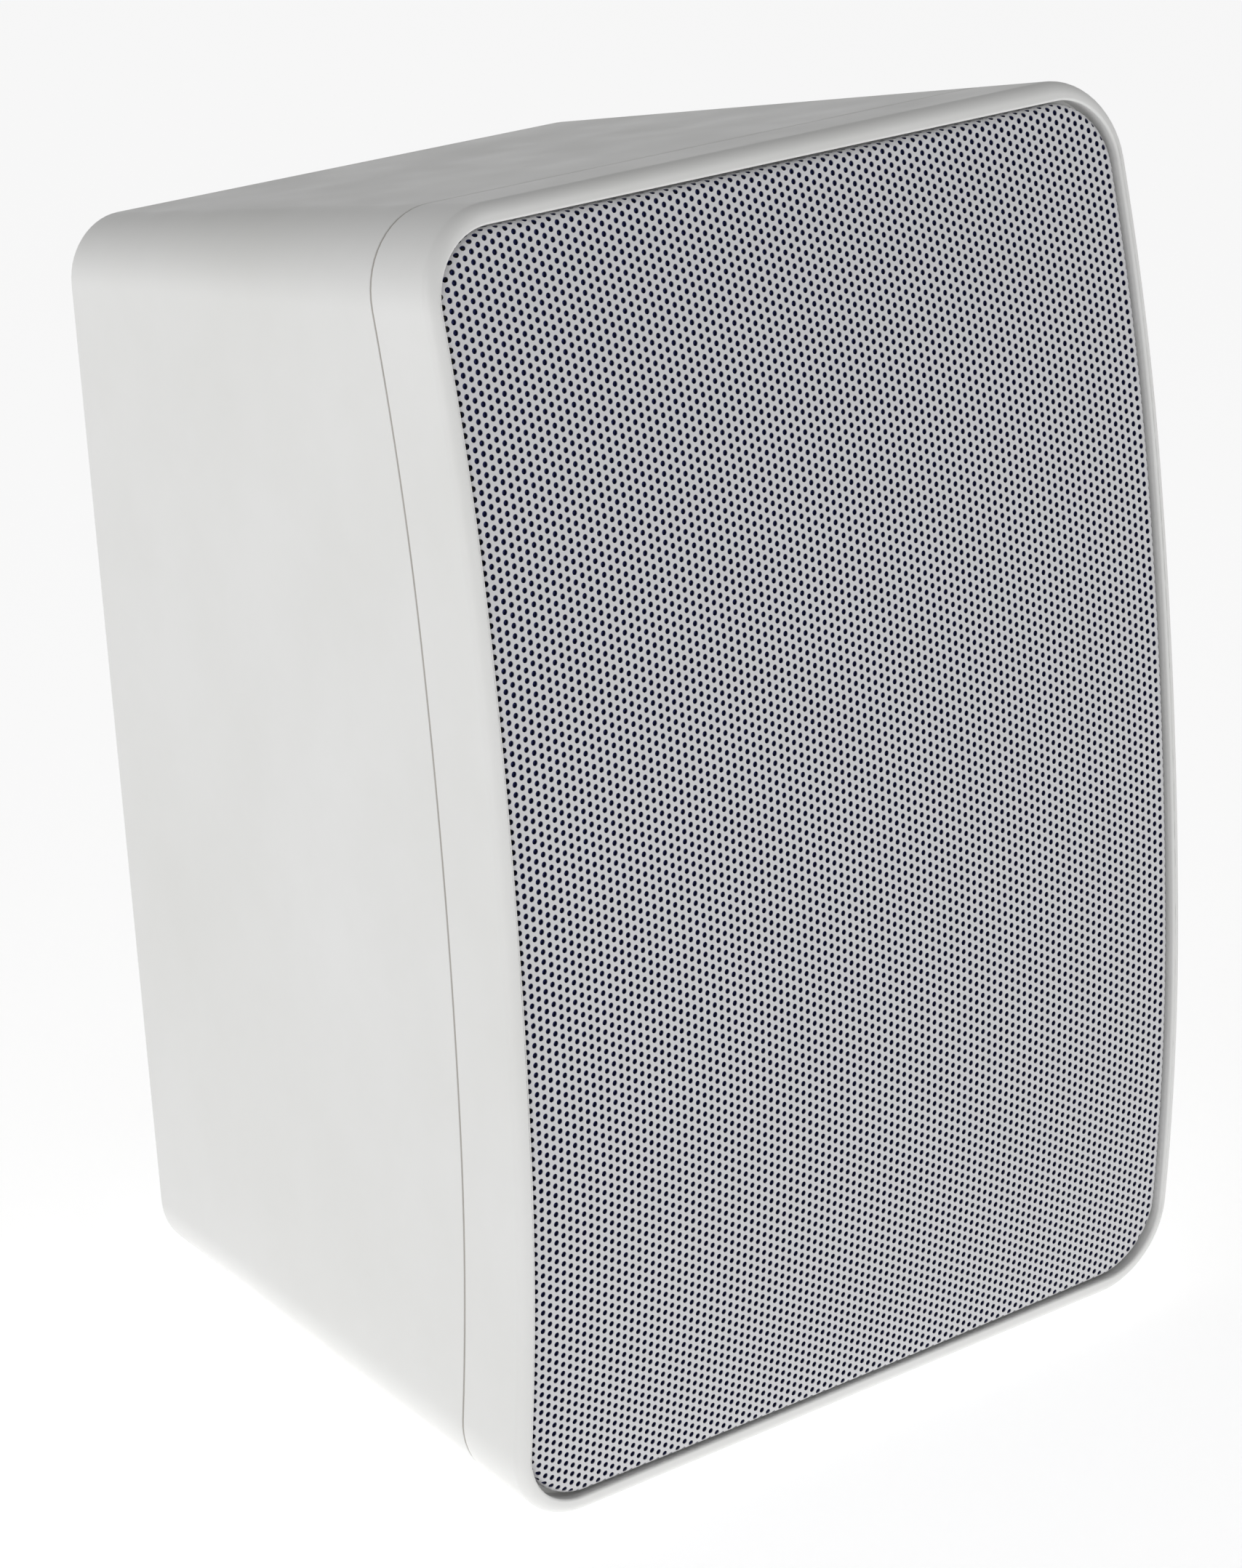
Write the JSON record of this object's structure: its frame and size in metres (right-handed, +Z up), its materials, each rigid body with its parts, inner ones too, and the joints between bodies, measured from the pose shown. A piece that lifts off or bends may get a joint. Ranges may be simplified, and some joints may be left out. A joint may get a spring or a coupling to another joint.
{
  "type": "bookshelf speaker",
  "caption": "Two-way bookshelf speaker with a tapering moulded cabinet, a bowed perforated grille and rear press terminals.",
  "frame": {"origin": "on the floor under the middle of the bounding box, at the soles of the rubber feet", "axes": "+Z up, front (grille) towards -Y, +X to the right seen from the front; the cabinet leans back by the 7.1 degree slope of its underside"},
  "size_m": [0.183, 0.1733, 0.265],
  "materials": {
    "cabinet_white": "fine moulded texture",
    "gasket_foam": "closed-cell foam",
    "black_screw": "black zinc",
    "grille_white": "powder coated",
    "acoustic_cloth": "woven",
    "basket_black": "satin black",
    "driver_gasket": "foam",
    "surround_rubber": "satin",
    "cone_paper": "coated paper",
    "cap_paper": "coated paper",
    "former_kapton": "film",
    "coil_copper": "enamelled wire",
    "spider_cloth": "resin-dipped cloth",
    "plated_steel": "zinc plated",
    "ferrite": "sintered",
    "faceplate_black": "moulded",
    "silk_dome": "doped silk",
    "port_black": "moulded",
    "foam_grey": "open-cell foam",
    "insert_brass": "turned",
    "board_green": "solder mask",
    "capacitor_blue": "sleeved",
    "resistor_ceramic": "ceramic",
    "zinc_screw": "zinc plated",
    "contact_brass": "plated spring brass",
    "lever_red": "moulded",
    "lever_black": "moulded",
    "lead_red": "PVC",
    "lead_blue": "PVC",
    "lead_yellow": "PVC",
    "foot_rubber": "soft"
  },
  "bodies": {
    "cabinet": {"front_baffle": "cabinet_white", "rear_shell": "cabinet_white", "cabinet_gasket": "gasket_foam", "cabinet_screws": "black_screw", "woofer_basket": "basket_black", "woofer_gasket": "driver_gasket", "woofer_surround": "surround_rubber", "spider": "spider_cloth", "woofer_top_plate": "plated_steel", "woofer_magnet": "ferrite", "woofer_yoke": "plated_steel", "woofer_screws": "black_screw", "tweeter_faceplate": "faceplate_black", "tweeter_gasket": "driver_gasket", "tweeter_surround": "silk_dome", "tweeter_top_plate": "plated_steel", "tweeter_magnet": "ferrite", "tweeter_yoke": "plated_steel", "tweeter_screws": "black_screw", "bass_port": "port_black", "damping_foam": "foam_grey", "bracket_inserts": "insert_brass", "crossover_board": "board_green", "woofer_inductor": "coil_copper", "tweeter_inductor": "coil_copper", "capacitors": "capacitor_blue", "resistor": "resistor_ceramic", "board_screws": "zinc_screw", "terminal_cup": "port_black", "terminal_block": "port_black", "terminal_contacts": "contact_brass", "lever_pin": "zinc_screw", "lever_springs": "zinc_screw", "terminal_screws": "zinc_screw", "input_leads": "lead_red", "woofer_leads": "lead_blue", "tweeter_leads": "lead_yellow", "rubber_feet": "foot_rubber"},
    "woofer_diaphragm": {"woofer_cone": "cone_paper", "dust_cap": "cap_paper", "voice_coil_former": "former_kapton", "voice_coil": "coil_copper"},
    "tweeter_diaphragm": {"tweeter_dome": "silk_dome", "tweeter_coil": "coil_copper"},
    "grille": {"grille_panel": "grille_white", "grille_cloth": "acoustic_cloth"},
    "red_lever": {"lever_red": "lever_red"},
    "black_lever": {"lever_black": "lever_black"}
  },
  "joints": [
    {"name": "woofer_travel", "type": "slide", "parent": "cabinet", "child": "woofer_diaphragm", "axis": [0, -0.9923, 0.1236], "range_m": [-0.004, 0.004], "stiffness_N_per_m": 1100, "deforming": ["woofer_surround", "spider"]},
    {"name": "tweeter_travel", "type": "slide", "parent": "cabinet", "child": "tweeter_diaphragm", "axis": [0, -0.9923, 0.1236], "range_m": [-0.0003, 0.0003], "stiffness_N_per_m": 900, "deforming": ["tweeter_surround"]},
    {"name": "grille_pull", "type": "slide", "parent": "cabinet", "child": "grille", "axis": [0, -0.9923, 0.1236], "range_m": [0, 0.006]},
    {"name": "red_lever_press", "type": "hinge", "parent": "cabinet", "child": "red_lever", "pos_m": [-0.011, 0.05915, 0.07379], "axis": [-1, 0, 0], "range_deg": [0, 18], "stiffness_Nm_per_rad": 0.06, "springref_deg": -5.73},
    {"name": "black_lever_press", "type": "hinge", "parent": "cabinet", "child": "black_lever", "pos_m": [0.011, 0.05915, 0.07379], "axis": [-1, 0, 0], "range_deg": [0, 18], "stiffness_Nm_per_rad": 0.06, "springref_deg": -5.73}
  ]
}
